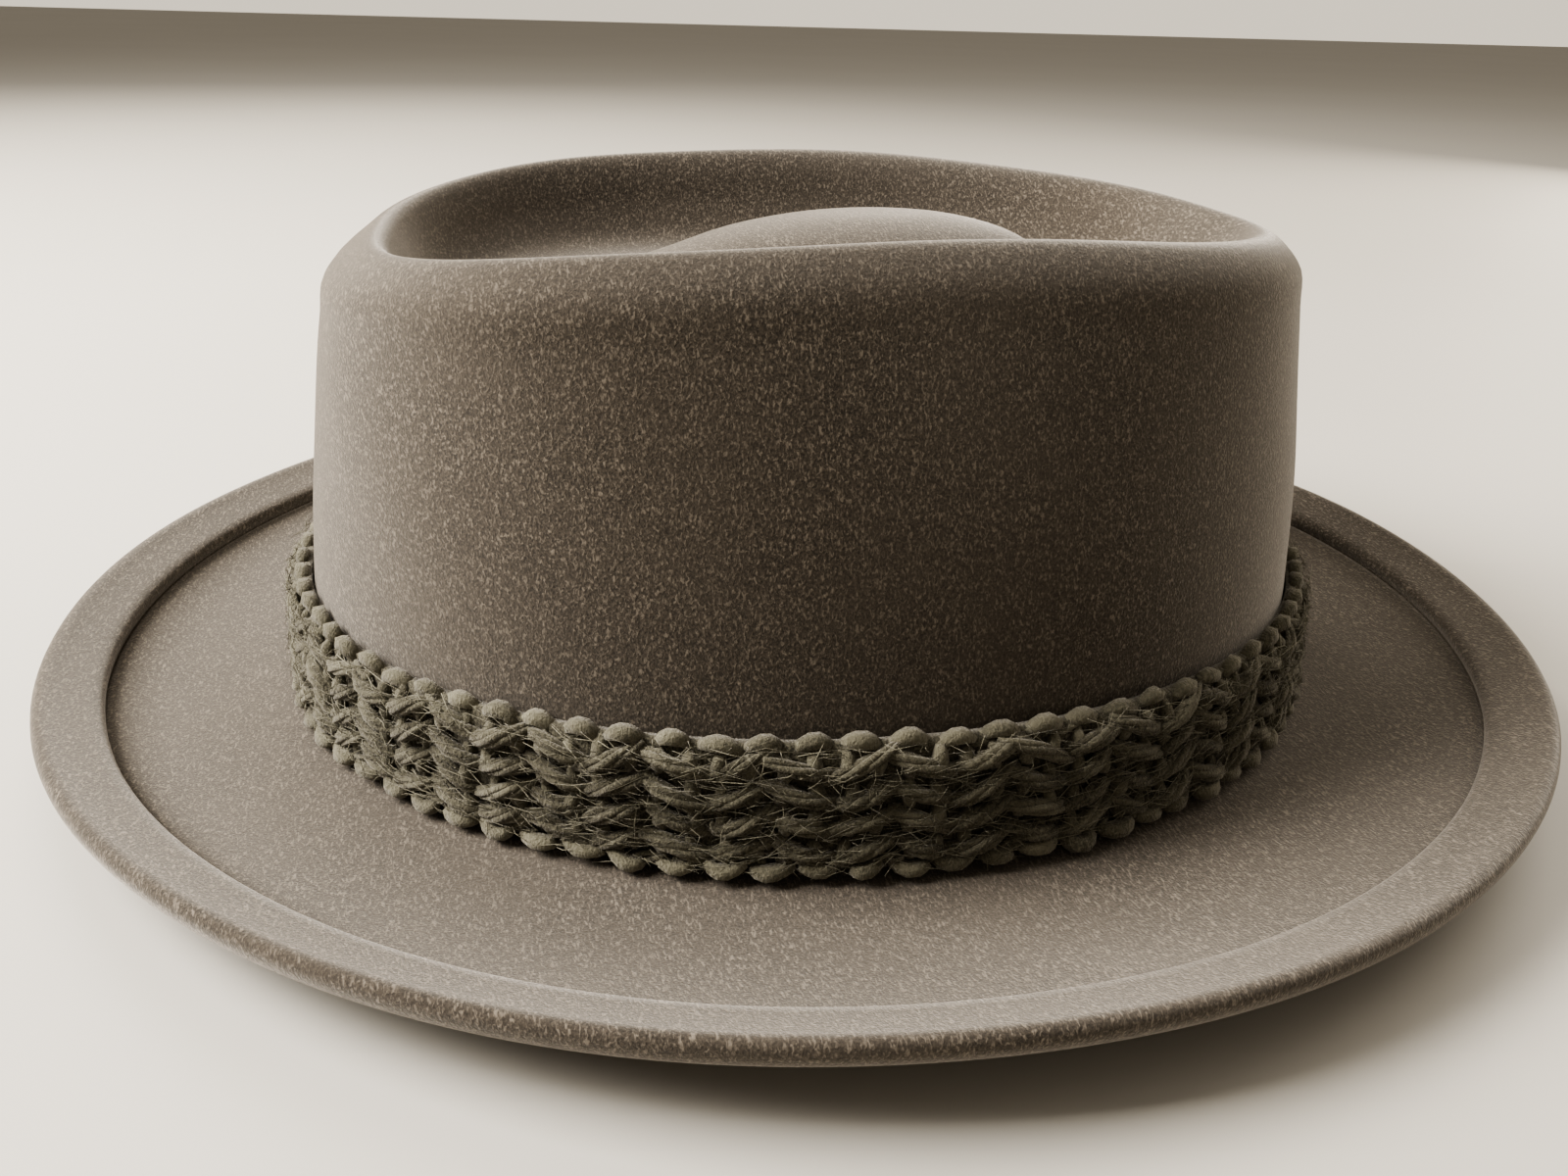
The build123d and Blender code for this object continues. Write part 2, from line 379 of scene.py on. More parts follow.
@dataclass(frozen=True)
class Finish:
    """A fibrous or grained surface in three shades.

    Colours are dark, mid and light; grain is in waves per metre; relief is the bump's height in
    millimetres; sheen is the soft glow of the nap at its edges.
    """

    name: str
    dark: Tone
    mid: Tone
    light: Tone
    grain: float = 1400.0
    hairs: float = 0.5
    patches: float = 0.3
    relief: float = 0.3
    roughness: float = 0.95
    sheen: float = 0.3
    yarn: bool = False
    weave: float = 0.0

    def material(self) -> bpy.types.Material:
        """Build the material once.

        Returns:
            The material.
        """
        if self.name in bpy.data.materials:
            return bpy.data.materials[self.name]
        mat = bpy.data.materials.new(self.name)
        mat.use_nodes = True
        kit = Sockets(mat.node_tree)
        shader = mat.node_tree.nodes["Principled BSDF"]
        place = kit.node("ShaderNodeTexCoord")
        group = kit.node("ShaderNodeGroup", node_tree=fibre_group())
        kit.link(place.outputs["Object"], group.inputs["Vector"])
        for label, tone in (("Dark", self.dark), ("Mid", self.mid), ("Light", self.light)):
            group.inputs[label].default_value = (*tone.value, 1.0)
        group.inputs["Grain"].default_value = self.grain
        group.inputs["Hairs"].default_value = self.hairs
        group.inputs["Patches"].default_value = self.patches
        colour, height = group.outputs["Color"], group.outputs["Height"]
        if self.yarn:
            tone = kit.node("ShaderNodeAttribute", attribute_name="tone")
            colour = kit.mix(tone.outputs["Fac"], colour, (*self.light.value, 1.0))
        if self.weave:
            colour, height = self.woven(kit, place, colour)
        kit.link(colour, shader.inputs["Base Color"])
        bump = kit.node("ShaderNodeBump", Strength=0.8, Distance=self.relief * MM)
        kit.link(height, bump.inputs["Height"])
        kit.link(bump.outputs[0], shader.inputs["Normal"])
        rough = kit.node("ShaderNodeMapRange", To_Min=self.roughness - 0.08,
                         To_Max=self.roughness + 0.04)
        kit.link(height, rough.inputs["Value"])
        kit.link(rough.outputs[0], shader.inputs["Roughness"])
        shader.inputs["Sheen Weight"].default_value = self.sheen
        shader.inputs["Sheen Roughness"].default_value = 0.45
        shader.inputs["Sheen Tint"].default_value = (1.0, 0.94, 0.86, 1.0)
        shader.inputs["Specular IOR Level"].default_value = 0.25 if self.roughness > 0.8 else 0.5
        return mat

    def woven(self, kit: Sockets, place: bpy.types.Node,
              colour: bpy.types.NodeSocket) -> tuple:
        """Lay fine ribs of weave over the colour.

        Args:
            kit: The material's nodes.
            place: Its coordinates.
            colour: The colour under the ribs.
        Returns:
            The new colour and the ribs' height.
        """
        ribs = kit.node("ShaderNodeTexWave", Scale=self.weave, Distortion=0.4, Detail=1.0)
        kit.link(place.outputs["UV"], ribs.inputs["Vector"])
        return kit.mix(ribs.outputs["Fac"], (*self.dark.value, 1.0), colour), ribs.outputs["Fac"]


FELT = Finish("brushed wool felt", Tone.FELT_DARK, Tone.FELT_MID, Tone.FELT_LIGHT,
              grain=2400.0, hairs=0.68, patches=0.3, relief=0.13, sheen=0.46)
WOOL = Finish("spun wool yarn", Tone.WOOL_DARK, Tone.WOOL_MID, Tone.WOOL_LIGHT, grain=2600.0,
              hairs=0.45, patches=0.2, relief=0.4, sheen=0.25, yarn=True)
LEATHER = Finish("sweatband leather", Tone.LEATHER_DARK, Tone.LEATHER_LIGHT, Tone.LEATHER_LIGHT,
                 grain=900.0, hairs=0.2, patches=0.5, relief=0.12, roughness=0.5, sheen=0.0)
SATIN = Finish("lining satin", Tone.SATIN_DARK, Tone.SATIN_LIGHT, Tone.SATIN_LIGHT, grain=700.0,
               relief=0.05, roughness=0.38, sheen=0.1, weave=90.0)
RIBBON = Finish("grosgrain ribbon", Tone.RIBBON_DARK, Tone.RIBBON_LIGHT, Tone.RIBBON_LIGHT,
                relief=0.15, roughness=0.7, sheen=0.1, weave=40.0)
THREAD = Finish("waxed thread", Tone.THREAD_DARK, Tone.THREAD_LIGHT, Tone.THREAD_LIGHT,
                grain=3000.0, relief=0.1, roughness=0.6, sheen=0.1)
PAPER = Finish("plain card", Tone.PAPER_DARK, Tone.PAPER_LIGHT, Tone.PAPER_LIGHT, grain=1800.0,
               relief=0.05, roughness=0.85, sheen=0.0)
REED = Finish("sweatband reed", Tone.REED_DARK, Tone.REED_LIGHT, Tone.REED_LIGHT, grain=1200.0,
              relief=0.08, roughness=0.55, sheen=0.0)


def dress(obj: bpy.types.Object, finish: Finish, slot: str, body: str, *nodes: str) -> None:
    """Finish a piece and say what it belongs to.

    Args:
        obj: The piece.
        finish: Its finish.
        slot: Its material slot in the record; not used.
        body: The body that it rides on.
        *nodes: The nodes that it stands for.
    """
    obj.data.materials.clear()
    obj.data.materials.append(finish.material())
    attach(obj, body)
    if nodes:
        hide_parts(*nodes)
    LOG.info("%s: %d faces", obj.name, len(obj.data.polygons))


# ---------------------------------------------------------------- felt body

@dataclass(frozen=True)
class CreaseRing:
    """One ring of the crown's top, from the middle of the mound out to the ridge.

    It is an oval of half length and half width, squarer with power, narrower at the front, moved
    forward, at a height, and it follows the ridge's drop at the front and back by a share.
    """

    length: float
    width: float
    power: float
    narrowing: float
    forward: float
    height: float
    follow: float


@dataclass
class FeltBody:
    """Crown, brim and welt, blocked from one piece of felt.

    At its foot the crown turns into the brim, given as distances out and heights. The brim is flat
    for a share of its width, then curves up, and its edge is rounded from a share of it on.
    """

    columns: int = 288
    brim: tuple[float, float] = (49.0, 52.5)
    rise: float = 8.5
    side_curl: float = 2.5
    welt: float = 11.5
    shoulder: float = 6.0
    foot_turn: tuple[tuple[float, float], ...] = ((0.5, 4.0), (2.0, 2.6), (5.0, 2.2))
    flat_share: float = 0.2
    turn_up: float = 1.9
    edge_share: float = 0.92
    inner_foot: float = 5.0
    fold_rings: int = 14
    crease: tuple[CreaseRing, ...] = (
        CreaseRing(2, 1, 2.0, 0.0, 11, 91.5, 0.0),
        CreaseRing(15, 7.5, 2.0, 0.1, 11, 90.9, 0.0),
        CreaseRing(29, 15, 2.0, 0.12, 10, 88.1, 0.0),
        CreaseRing(41, 23, 2.0, 0.14, 8, 83.1, 0.1),
        CreaseRing(52, 32, 2.0, 0.16, 4, 78.3, 0.3),
        CreaseRing(63, 42, 2.2, 0.16, 1, 76.1, 0.5),
        CreaseRing(71.5, 50.0, 2.4, 0.14, 0, 78.5, 0.7),
        CreaseRing(76.2, 54.6, 2.55, 0.12, 0, 84.5, 0.9),
        CreaseRing(79.4, 57.8, 2.7, 0.10, 0, 91.5, 1.0),
        CreaseRing(81.8, 60.4, 2.75, 0.08, 0, 95.3, 1.0),
        CreaseRing(84.0, 63.0, 2.75, 0.06, 0, 96.5, 1.0),
        CreaseRing(87.0, 65.6, 2.75, 0.05, 0, 95.1, 1.0),
    )

    def angles(self) -> np.ndarray:
        """Angles of the columns round the hat."""
        return np.linspace(0, 2 * math.pi, self.columns, endpoint=False)

    def crown_rings(self) -> np.ndarray:
        """Shape the crown's outside.

        Returns:
            Rings from the top of the mound, over the ridge and down to the brim.
        """
        t = self.angles()
        rings = []
        for ring in self.crease:
            plan = BLOCK.oval(t, (ring.length, ring.width), ring.power, ring.narrowing, ring.forward)
            drop = BLOCK.height - BLOCK.crest(plan[:, 0])
            rings.append(np.column_stack([plan, ring.height - drop * ring.follow]))
        shoulder = BLOCK.crest(rings[-1][:, 0]) - self.shoulder
        for share in (1.0, 0.93, 0.84, 0.72, 0.6, 0.48, 0.36, 0.25, 0.15, 0.07):
            rings.append(BLOCK.wall(t, shoulder * share))
        foot = rings[-1].copy()
        outward_step = foot[:, :2] / np.linalg.norm(foot[:, :2], axis=1, keepdims=True)
        for out, height in self.foot_turn:
            flare = foot.copy()
            flare[:, :2] += outward_step * out
            flare[:, 2] = height
            rings.append(flare)
        return smooth_rows(np.array(rings), 4)

    def brim_ring(self, share: float, lift: float, inset: float = 0.0) -> np.ndarray:
        """A ring on the brim.

        Args:
            share: Share of the brim's width, from the crown out.
            lift: Height above the brim's underside.
            inset: Distance in from there.
        Returns:
            The ring's points.
        """
        t = self.angles()
        size = tuple(c + w * share - inset for c, w in zip(BLOCK.crown, self.brim))
        plan = BLOCK.oval(t, size)
        part = np.clip((size[0] - BLOCK.crown[0]) / self.brim[0], 0, 1)
        turned = np.clip((part - self.flat_share) / (1 - self.flat_share), 0, 1) ** self.turn_up
        curl = self.side_curl * turned * np.sin(t) ** 2
        wave = 0.35 * turned * np.sin(3 * t + 0.8) + 0.25 * turned * np.sin(7 * t)
        return np.column_stack([plan, self.rise * turned + curl + wave + lift])

    def brim_rings(self) -> np.ndarray:
        """Shape the brim.

        Returns:
            Rings from the foot of the crown, over the welt, round the edge and back underneath.
        """
        f = BLOCK.felt
        groove = 1 - self.welt / self.brim[0]
        top = [self.brim_ring(s, f) for s in np.linspace(self.flat_share, groove - 0.02, 12)]
        step = [(0.0, 0.0, f * 0.95), (0.0, -0.6, f * 0.75), (0.0, -0.5, f * 1.0),
                (0.0, -0.05, f * 1.6), (0.0, -0.2, f * 1.95), (0.0, -0.9, f * 2.2)]
        cut = [self.brim_ring(groove + s, lift, inset) for s, inset, lift in step]
        over = [self.brim_ring(s, 2.25 * f - 0.15 * s)
                for s in np.linspace(groove + 0.05, self.edge_share, 6)]
        edge = []
        for turn in np.linspace(100, -80, 10):
            a = math.radians(turn)
            edge.append(self.brim_ring(1.0, f * 1.1 + 1.15 * f * math.sin(a), 2.4 - 2.4 * math.cos(a)))
        under = [self.brim_ring(s, 0.0) for s in np.linspace(self.edge_share, -0.01, 16)]
        return np.array(top + cut + over + edge + under)

    def build(self) -> bpy.types.Object:
        """Build the closed felt, top, edge and underside.

        Returns:
            The piece.
        """
        crown, brim = self.crown_rings(), self.brim_rings()
        inside = (crown - ring_normals(crown) * BLOCK.felt)[:-self.fold_rings][::-1]
        inside = inside[inside[:, :, 2].max(axis=1) > self.inner_foot]
        rows = np.concatenate([crown, brim, inside])
        rows = self.soften(rows, len(crown))
        rings, columns = rows.shape[:2]
        points = rows.reshape(-1, 3)
        faces = ring_faces(rings, columns)
        top, low = rows[0].mean(axis=0), rows[-1].mean(axis=0)
        points = np.vstack([points, top, low])
        a, b, last = len(points) - 2, len(points) - 1, (rings - 1) * columns
        for c in range(columns):
            d = (c + 1) % columns
            faces.append((a, c, d))
            faces.append((last + c, b, last + d))
        uv = np.vstack([ring_uv(rows), [[0, 0], [0, 0]]])
        obj = make_object("felt_crown_and_brim", points, faces, uv)
        outward(obj)
        dress(obj, FELT, "felt", HAT_BODY, "felt_body")
        return obj

    def soften(self, rows: np.ndarray, crown_count: int) -> np.ndarray:
        """Give the crown the slight unevenness of felt shaped by hand.

        Args:
            rows: Rings of the whole felt.
            crown_count: How many of them are the crown's outside.
        Returns:
            The rings, moved.
        """
        x, y, z = rows[..., 0], rows[..., 1], rows[..., 2]
        swell = 0.35 * np.sin(x * 0.05 + z * 0.07 + 1.0) * np.sin(y * 0.06 - z * 0.05)
        fade = np.clip((z - 30) / 25, 0, 1)
        rows[..., 0] += swell * fade * np.sign(x) * 0.8
        rows[..., 1] += swell * fade * np.sign(y)
        rows[:crown_count, :, 2] += 0.25 * (np.sin(x * 0.08) * fade)[:crown_count]
        return rows


# ---------------------------------------------------------------- crocheted band

class Twist(Enum):
    """How a strand is spun: its swell in the middle, how far its plies stand apart, and their size."""

    PLIED = (0.28, 0.52, 0.46)
    SMOOTH = (0.5, 0.0, 1.0)


class Yarn:
    """Plied strands of yarn, gathered into one mesh."""

    def __init__(self, seed: int) -> None:
        """Start with nothing spun."""
        self.points: list[np.ndarray] = []
        self.tones: list[np.ndarray] = []
        self.faces: list = []
        self.count = 0
        self.random = np.random.default_rng(seed)

    def tube(self, path: np.ndarray, out: np.ndarray, radius: np.ndarray, tone: float,
             sides: int = 5) -> None:
        """Add one closed tube.

        Args:
            path: Its middle line.
            out: A direction across it at each point.
            radius: Its radius at each point.
            tone: Its shade.
            sides: Sides of its section.
        """
        tangent = np.gradient(path, axis=0)
        tangent /= np.linalg.norm(tangent, axis=1, keepdims=True) + 1e-9
        side = np.cross(tangent, out)
        side /= np.linalg.norm(side, axis=1, keepdims=True) + 1e-9
        up = np.cross(side, tangent)
        a = np.linspace(0, 2 * math.pi, sides, endpoint=False)
        ring = (np.cos(a)[None, :, None] * side[:, None] + np.sin(a)[None, :, None] * up[:, None])
        rows = path[:, None] + ring * radius[:, None, None]
        start, n = self.count, len(path)
        self.points.append(rows.reshape(-1, 3))
        self.faces += ring_faces(n, sides, start)
        self.faces.append(tuple(range(start, start + sides)))
        self.faces.append(tuple(range(start + n * sides - 1, start + (n - 1) * sides - 1, -1)))
        self.tones.append(np.full(n * sides, tone))
        self.count += n * sides

    def strand(self, path: np.ndarray, out: np.ndarray, radius: float, turns: float = 1.2,
               plies: int = 3, steps: int = 8) -> None:
        """Add a strand, fuller in its middle than at its ends.

        Args:
            path: Points along it.
            out: A direction across it at each point.
            radius: Its radius.
            turns: Turns of its plies about each other.
            plies: How many plies it has; one makes it smooth.
            steps: Points along each ply.
        """
        t = np.linspace(0, 1, len(path))
        s = np.linspace(0, 1, steps)
        line = np.stack([np.interp(s, t, path[:, k]) for k in range(3)], -1)
        face = np.stack([np.interp(s, t, out[:, k]) for k in range(3)], -1)
        for _ in range(2):
            line[1:-1] = (line[:-2] + 2 * line[1:-1] + line[2:]) / 4
        tangent = np.gradient(line, axis=0)
        tangent /= np.linalg.norm(tangent, axis=1, keepdims=True) + 1e-9
        side = np.cross(tangent, face)
        side /= np.linalg.norm(side, axis=1, keepdims=True) + 1e-9
        up = np.cross(side, tangent)
        twist = Twist.PLIED if plies > 1 else Twist.SMOOTH
        swell, spread, size = twist.value
        full = 1 - swell + swell * np.sin(math.pi * s)
        start = self.random.uniform(0, 2 * math.pi)
        tone = self.random.uniform(0.0, 0.22) + (0.12 if twist is Twist.SMOOTH else 0.0)
        for ply in range(plies):
            turn = start + 2 * math.pi * (turns * s + ply / plies)
            offset = side * np.cos(turn)[:, None] + up * np.sin(turn)[:, None]
            centre = line + offset * (radius * spread * full)[:, None]
            shade = np.clip(tone + self.random.uniform(-0.08, 0.14), 0, 1)
            self.tube(centre, face, radius * size * full, shade)

    def build(self, name: str) -> bpy.types.Object:
        """Make the mesh of all that was spun.

        Args:
            name: The piece's name.
        Returns:
            The piece.
        """
        points, tones = np.vstack(self.points), np.concatenate(self.tones)
        return make_object(name, points, self.faces, tone=tones)


@dataclass
class CrochetBand:
    """The slip-on band: a backing, tiers of slanting stitches and two edgings."""

    bottom: float = 2.6
    height: float = 24.0
    edging: float = 3.0
    clearance: float = 0.4
    stitch: float = 9.6
    picot: float = 7.4
    tiers: int = 4
    hairs: int = 4600
    marks: int = 2001
    seed: int = 5

    def measure(self) -> tuple[np.ndarray, np.ndarray]:
        """Measure round the middle of the band.

        Returns:
            Angles from the front, and the distance round to each.
        """
        angle = np.linspace(0, 2 * math.pi, self.marks)
        ring = BLOCK.wall(angle, np.full(self.marks, self.bottom + self.height / 2), 2.0)
        steps = np.linalg.norm(np.diff(ring, axis=0), axis=1)
        return angle, np.concatenate([[0], steps.cumsum()])

    def place(self, along: np.ndarray, up: np.ndarray, out: np.ndarray) -> np.ndarray:
        """Points on the band.

        Args:
            along: Distances round it from the front.
            up: Heights.
            out: Distances out of the felt.
        Returns:
            Points as rows of x, y and z.
        """
        angle, length = self.measure()
        theta = np.interp(np.mod(along, length[-1]), length, angle)
        return BLOCK.wall(theta, up, 0.0) + self.outward(theta) * out[..., None]

    def outward(self, theta: np.ndarray) -> np.ndarray:
        """Level directions out of the band.

        Args:
            theta: Angles round it.
        Returns:
            Unit directions.
        """
        x = np.cos(theta) * BLOCK.crown[1]
        y = np.sin(theta) * BLOCK.crown[0]
        return np.stack([x, y, 0 * x], -1) / np.hypot(x, y)[..., None]

    def girth(self) -> float:
        """Length round the band."""
        return float(self.measure()[1][-1])

    def lay(self, yarn: Yarn, at: float, line: list, radius: float, **how) -> None:
        """Lay one strand on the band, each point a little out of its place.

        Args:
            yarn: What it is added to.
            at: Distance round the band.
            line: Its points, each along, up and out.
            radius: Its radius.
            **how: The strand's turns, plies and steps.
        """
        jitter = yarn.random.normal(0, 0.4, (len(line), 3))
        spots = np.array(line) + jitter
        path = self.place(at + spots[:, 0], spots[:, 1], spots[:, 2])
        tip = self.place(at + spots[:, 0], spots[:, 1], spots[:, 2] + 1.0)
        yarn.strand(path, tip - path, radius * yarn.random.uniform(0.92, 1.1), **how)

    def stitches(self) -> Yarn:
        """Lay tiers of long slanting stitches in a zigzag, with short posts where they meet.

        Returns:
            The yarn.
        """
        yarn = Yarn(self.seed)
        count = 2 * round(self.girth() / self.stitch / 2)
        pitch = self.girth() / count
        low = self.bottom + self.edging
        gap = (self.height - 2 * self.edging + 1.0) / self.tiers
        for tier in range(self.tiers):
            level = low + gap * (tier + 0.5) - 0.5
            for k in range(count):
                lean = 1 if k % 2 else -1
                half = pitch * yarn.random.uniform(0.54, 0.72)
                climb = yarn.random.uniform(1.6, 2.7) * lean
                self.lay(yarn, k * pitch,
                         [(-half, level - climb, 2.0), (-half * 0.5, level - climb * 0.6, 3.9),
                          (0, level, 4.3), (half * 0.5, level + climb * 0.6, 3.8),
                          (half, level + climb, 2.0)], 1.6, turns=0.5, plies=5, steps=7)
                for shift in (-0.26, 0.26):
                    self.lay(yarn, (k + 0.5 + shift) * pitch,
                             [(0, level - 2.5, 2.0), (0.1, level - 0.2, 3.4), (0, level + 2.1, 2.0)],
                             1.5, steps=5, plies=1)
        return yarn

    def edge(self, seed: int, level: float, arch: float, out: float, radius: float) -> Yarn:
        """A round of small loops along an edge.

        Args:
            seed: Start of its random draws.
            level: Height of the loops' ends.
            arch: How far each loop's middle is above its ends.
            out: Distance out of the felt.
            radius: The yarn's radius.
        Returns:
            The yarn.
        """
        yarn = Yarn(seed)
        count = round(self.girth() / self.picot)
        pitch = self.girth() / count
        for k in range(count):
            half = pitch * 0.40
            self.lay(yarn, k * pitch, [(-half, level, out - 0.9), (-half * 0.5, level + arch * 0.8, out),
                                       (half * 0.5, level + arch * 0.8, out),
                                       (half, level, out - 0.9)], radius, steps=6, plies=1)
            self.lay(yarn, k * pitch + pitch / 2, [(-half, level - 0.25 * arch, out - 1.1),
                                                   (half, level - 0.25 * arch, out - 1.1)],
                     radius * 0.7, turns=0.8, steps=5, plies=2)
        return yarn

    def fuzz(self, yarn: Yarn, low: float, high: float) -> None:
        """Add loose hairs that stand off the yarn.

        Args:
            yarn: What they are added to.
            low: The lowest height.
            high: The highest height.
        """
        rnd = yarn.random
        for _ in range(self.hairs):
            at, up = rnd.uniform(0, self.girth()), rnd.uniform(low, high)
            reach = rnd.uniform(-0.4, 1.4)
            along, climb = rnd.normal(0, 2.6), rnd.normal(0, 1.0)
            spots = np.array([(-along, -climb, 4.2), (rnd.normal(0, 0.5), rnd.normal(0, 0.5), 5.2),
                              (along, climb, 4.9 + reach)])
            path = self.place(at + spots[:, 0], up + spots[:, 1], spots[:, 2])
            out = np.tile(path[-1] - path[0] + 0.01, (3, 1))
            yarn.tube(path, out + rnd.normal(0, 0.3, 3), np.array([0.08, 0.07, 0.03]),
                      rnd.uniform(0.3, 0.9), sides=3)

    def backing(self) -> bpy.types.Object:
        """Make the close inner fabric seen in the gaps between stitches.

        Returns:
            The piece.
        """
        t = np.linspace(0, 2 * math.pi, 240, endpoint=False)
        low, high = self.bottom + 1.0, self.bottom + self.height - 1.5
        rows = [BLOCK.wall(t, h, out) for h, out in
                [(z, self.clearance) for z in np.linspace(low, high, 6)]
                + [(z, 2.3) for z in np.linspace(high, low, 6)]]
        return closed_ring("hatband_backing", np.array(rows))

    def build(self) -> None:
        """Build the band and its edgings."""
        top = self.bottom + self.height
        body = self.stitches()
        self.fuzz(body, self.bottom + 2, top - 1)
        pieces = ((body.build("hatband_stitches"), "hatband"),
                  (self.edge(21, self.bottom + 2.7, -1.5, 4.6, 1.6).build("hatband_shells"),
                   "hatband_lower_edging"),
                  (self.edge(22, top - 2.6, 2.2, 2.4, 1.6).build("hatband_picots"),
                   "hatband_upper_edging"),
                  (self.joint().build("hatband_joint"), "hatband_seam"))
        for obj, node in pieces:
            dress(obj, WOOL, "crochet_wool", BAND_BODY, node)
        backing = self.backing()
        dress(backing, WOOL, "crochet_wool", BAND_BODY)

    def joint(self) -> Yarn:
        """Whip yarn over the joint at the back.

        Returns:
            The yarn.
        """
        yarn = Yarn(31)
        for k in range(6):
            z = self.bottom + self.edging + 1.4 + k * 2.8
            line = [(-3.2, z, 2.4), (0, z + 1.2, 4.9), (3.2, z + 2.2, 2.4)]
            self.lay(yarn, self.girth() / 2, line, 1.2)
        return yarn


# ---------------------------------------------------------------- inside the hat

@dataclass
class Inside:
    """Sweatband, ribbon and lining."""

    sweat_bottom: float = 2.7
    sweat_height: float = 38.0
    sweat_inset: float = 2.9
    sweat_thick: float = 1.2
    lining_tip: tuple[float, float] = (75.0, 52.0)
    tip_height: float = 62.0
    satin: float = 0.5
    skirt_flat: tuple[float, float] = (0.600, 0.072)
    tip_flat: tuple[float, float] = (0.147, 0.101)
    columns: int = 216

    def angles(self) -> np.ndarray:
        """Angles of the columns round the hat."""
        return np.linspace(0, 2 * math.pi, self.columns, endpoint=False)

    def sweatband(self) -> None:
        """Make the leather strip round the inside of the wall, with a rounded upper edge."""
        t, inset, thick = self.angles(), self.sweat_inset, self.sweat_thick
        heights = np.linspace(self.sweat_bottom, self.sweat_height, 7)
        rows = [BLOCK.wall(t, z, -inset) for z in heights]
        rows.append(BLOCK.wall(t, self.sweat_height + 0.3, -inset - thick / 2))
        rows += [BLOCK.wall(t, z, -inset - thick) for z in heights[::-1]]
        band = closed_ring("sweatband_strip", np.array(rows))
        dress(band, LEATHER, "sweatband_leather", HAT_BODY, "sweatband")

    def patch(self, name: str, low: float, high: float, half: float, depth: float, thick: float,
              waist: float = 1.0) -> bpy.types.Object:
        """A small piece of ribbon against the sweatband at the back.

        Args:
            name: Its name.
            low: Its lower edge.
            high: Its upper edge.
            half: Half its width.
            depth: How far in from the felt's outside its back lies.
            thick: Its thickness.
            waist: Share of its height that is left in its middle, as on a bow.
        Returns:
            The piece.
        """
        middle, tall = (low + high) / 2, (high - low) / 2
        span = np.linspace(-half, half, 13)
        across = span / 90.0 + math.pi
        pinch = waist + (1 - waist) * np.abs(span / half) ** 0.8
        rows = []
        for inset, swell in ((depth, 0.0), (depth + thick, 1.0)):
            for level in (-1.0, -0.5, 0.0, 0.5, 1.0)[::1 if not swell else -1]:
                z = middle + tall * level * pinch
                puff = 0.25 * swell * np.sin(math.pi * np.abs(span / half)) * (waist < 1)
                rows.append(BLOCK.wall(across, z) - (inset + puff)[:, None] * np.array([-1.0, 0, 0]))
        rows = np.array(rows)
        rings, columns = rows.shape[:2]
        faces = []
        for r in range(rings):
            a, b = r * columns, ((r + 1) % rings) * columns
            faces += [(a + c, b + c, b + c + 1, a + c + 1) for c in range(columns - 1)]
        for c in (0, columns - 1):
            faces.append(tuple(r * columns + c for r in range(rings)))
        obj = make_object(name, rows.reshape(-1, 3), faces, ring_uv(rows))
        outward(obj)
        return obj

    def ribbons(self) -> None:
        """Make the ribbon over the joint, and the bow at its foot."""
        depth = self.sweat_inset + self.sweat_thick + 0.02
        tape = self.patch("joint_ribbon", 4.0, 36.0, 7.0, depth, 0.4)
        dress(tape, RIBBON, "ribbon", HAT_BODY, "sweatband_tape")
        bow = self.patch("joint_bow", 5.6, 14.6, 12.0, depth + 0.4, 1.1, waist=0.35)
        dress(bow, RIBBON, "ribbon", HAT_BODY, "sweatband_bow")

    def lining(self) -> None:
        """Make the satin side, softly gathered towards the tip, and the tip itself."""
        t = self.angles()
        gather = np.sin(t * 36) * 0.35
        rows = []
        for thick, order in ((0.0, 1), (self.satin, -1)):
            wall = [BLOCK.wall(t, z, -2.4 - thick) for z in np.linspace(8, 44, 8)]
            start = wall[-1]
            tip = np.column_stack([BLOCK.oval(t, tuple(s - 0.3 - thick for s in self.lining_tip)),
                                   np.full(len(t), self.tip_height)])
            slope = []
            for share in np.linspace(0.15, 1, 8):
                ring = start + (tip - start) * share
                ring[:, 2] -= gather * math.sin(math.pi * share) + 0.3
                slope.append(ring)
            rows += (wall + slope)[::order]
        side = closed_ring("lining_skirt", np.array(rows))
        dress(side, SATIN, "satin", HAT_BODY, "lining_side")
        self.tip()

    def tip(self) -> None:
        """Make the oval that closes the lining, bowed slightly upwards."""
        t = self.angles()
        rows = []
        for lift, shares in ((0.0, np.linspace(0.02, 1, 12)), (self.satin, np.linspace(1, 0.02, 12))):
            for share in shares:
                plan = BLOCK.oval(t, tuple((s - 1.7) * share for s in self.lining_tip))
                z = self.tip_height + 0.6 + lift + 3.0 * (1 - share ** 2)
                rows.append(np.column_stack([plan, np.full(len(t), z)]))
        rows = np.array(rows)
        faces = ring_faces(len(rows), len(t))
        for start in (0, (len(rows) - 1) * len(t)):
            faces.append(tuple(range(start, start + len(t))))
        flat = rows[..., :2].reshape(-1, 2)
        obj = make_object("lining_crown_tip", rows.reshape(-1, 3), faces, flat)
        outward(obj)
        dress(obj, SATIN, "satin", HAT_BODY, "lining_tip")

    def build(self) -> None:
        """Build all of it, and finish the pieces whose shape is already right."""
        self.sweatband()
        self.ribbons()
        self.lining()
        for node, finish in (("sweatband_reed", REED), ("sweatband_stitches", THREAD),
                             ("lining_piping", RIBBON), ("size_tag", PAPER)):
            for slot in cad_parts[node].material_slots:
                slot.material = finish.material()


# ---------------------------------------------------------------- studio

